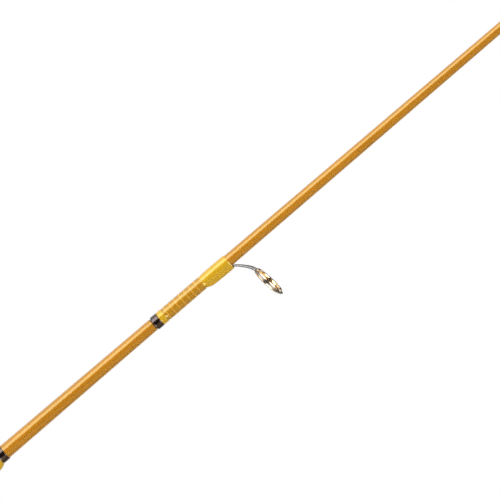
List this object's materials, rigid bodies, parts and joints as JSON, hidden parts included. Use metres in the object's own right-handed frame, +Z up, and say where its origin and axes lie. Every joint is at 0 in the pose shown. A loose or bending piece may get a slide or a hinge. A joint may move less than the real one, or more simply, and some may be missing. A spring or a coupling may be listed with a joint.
{
  "type": "spinning rod",
  "caption": "Two-piece spinning rod with an amber glass-fibre blank, spigot ferrule, cork grips, screw-lock reel seat and thread-wrapped ringed guides.",
  "frame": {"origin": "on the rod's axis at the middle of the reel seat", "axes": "+X along the rod from butt to tip, +Z up, so the guides, the reel and the hook keeper hang towards -Z, and Y across"},
  "size_m": [1.9789, 0.0284, 0.0587],
  "materials": {
    "amber_blank": "glossy clear-coated amber glass fibre",
    "spigot_glass": "ground glass fibre, waxed",
    "rubber_cap": "matt, fine grain",
    "cork_grip": "sanded natural cork rings",
    "gold_trim": "gold anodised, polished",
    "arbor_foam": "rigid foam",
    "graphite_seat": "satin black graphite-filled plastic",
    "hood_steel": "polished stainless steel",
    "guide_steel": "polished",
    "gold_ring": "mirror-polished gold-coloured ceramic",
    "yellow_thread": "thread under clear epoxy",
    "black_thread": "thread under clear epoxy",
    "amber_thread": "thread under clear epoxy, with lighter rings"
  },
  "bodies": {
    "butt_section": {"butt_blank": "amber_blank", "ferrule_spigot": "spigot_glass", "butt_cap": "rubber_cap", "rear_grip": "cork_grip", "fore_grip": "cork_grip", "rear_trim_ring": "gold_trim", "front_trim_ring": "gold_trim", "winding_check": "gold_trim", "rear_arbor": "arbor_foam", "front_arbor": "arbor_foam", "reel_seat_barrel": "graphite_seat", "fixed_hood": "hood_steel", "keeper_bracket": "guide_steel", "stripper_frame": "guide_steel", "stripper_ring": "gold_ring", "keeper_wrap_rear": "yellow_thread", "keeper_wrap_front": "yellow_thread", "stripper_wrap_rear": "yellow_thread", "stripper_wrap_front": "yellow_thread", "stripper_trim_rear": "black_thread", "stripper_trim_front": "black_thread"},
    "tip_section": {"tip_blank": "amber_blank", "ferrule_trim_black": "black_thread", "ferrule_trim_yellow": "yellow_thread", "ferrule_wrap": "amber_thread", "tip_top_frame": "guide_steel", "tip_top_ring": "gold_ring", "tip_top_wrap": "yellow_thread", "guide_2_frame": "guide_steel", "guide_2_ring": "gold_ring", "guide_2_wrap": "yellow_thread", "guide_3_frame": "guide_steel", "guide_3_ring": "gold_ring", "guide_3_wrap": "yellow_thread", "guide_4_frame": "guide_steel", "guide_4_ring": "gold_ring", "guide_4_wrap": "yellow_thread", "guide_5_frame": "guide_steel", "guide_5_ring": "gold_ring", "guide_5_wrap": "yellow_thread", "guide_6_frame": "guide_steel", "guide_6_ring": "gold_ring", "guide_6_wrap": "yellow_thread", "guide_7_frame": "guide_steel", "guide_7_ring": "gold_ring", "guide_7_wrap": "yellow_thread", "guide_8_frame": "guide_steel", "guide_8_ring": "gold_ring", "guide_8_wrap": "yellow_thread"},
    "hood": {"sliding_hood": "hood_steel"},
    "nut": {"lock_nut": "graphite_seat"},
    "keeper_loop": {"keeper_ring": "guide_steel"}
  },
  "joints": [
    {"name": "ferrule_pull", "type": "slide", "parent": "butt_section", "child": "tip_section", "axis": [1, 0, 0], "range_m": [0, 0.09]},
    {"name": "hood_slide", "type": "slide", "parent": "butt_section", "child": "hood", "axis": [1, 0, 0], "range_m": [-0.014, 0.006]},
    {"name": "nut_turn", "type": "hinge", "parent": "hood", "child": "nut", "pos_m": [-0.0338, 0, 0], "axis": [1, 0, 0], "range_deg": [-1681, 721]},
    {"name": "keeper_swing", "type": "hinge", "parent": "butt_section", "child": "keeper_loop", "pos_m": [0.1525, 0, -0.00653], "axis": [0, 1, 0], "range_deg": [-78, 78]}
  ],
  "couplings": [
    {"joint": "nut_turn", "follows": "hood_slide", "rad_per_m": 2094.4}
  ]
}
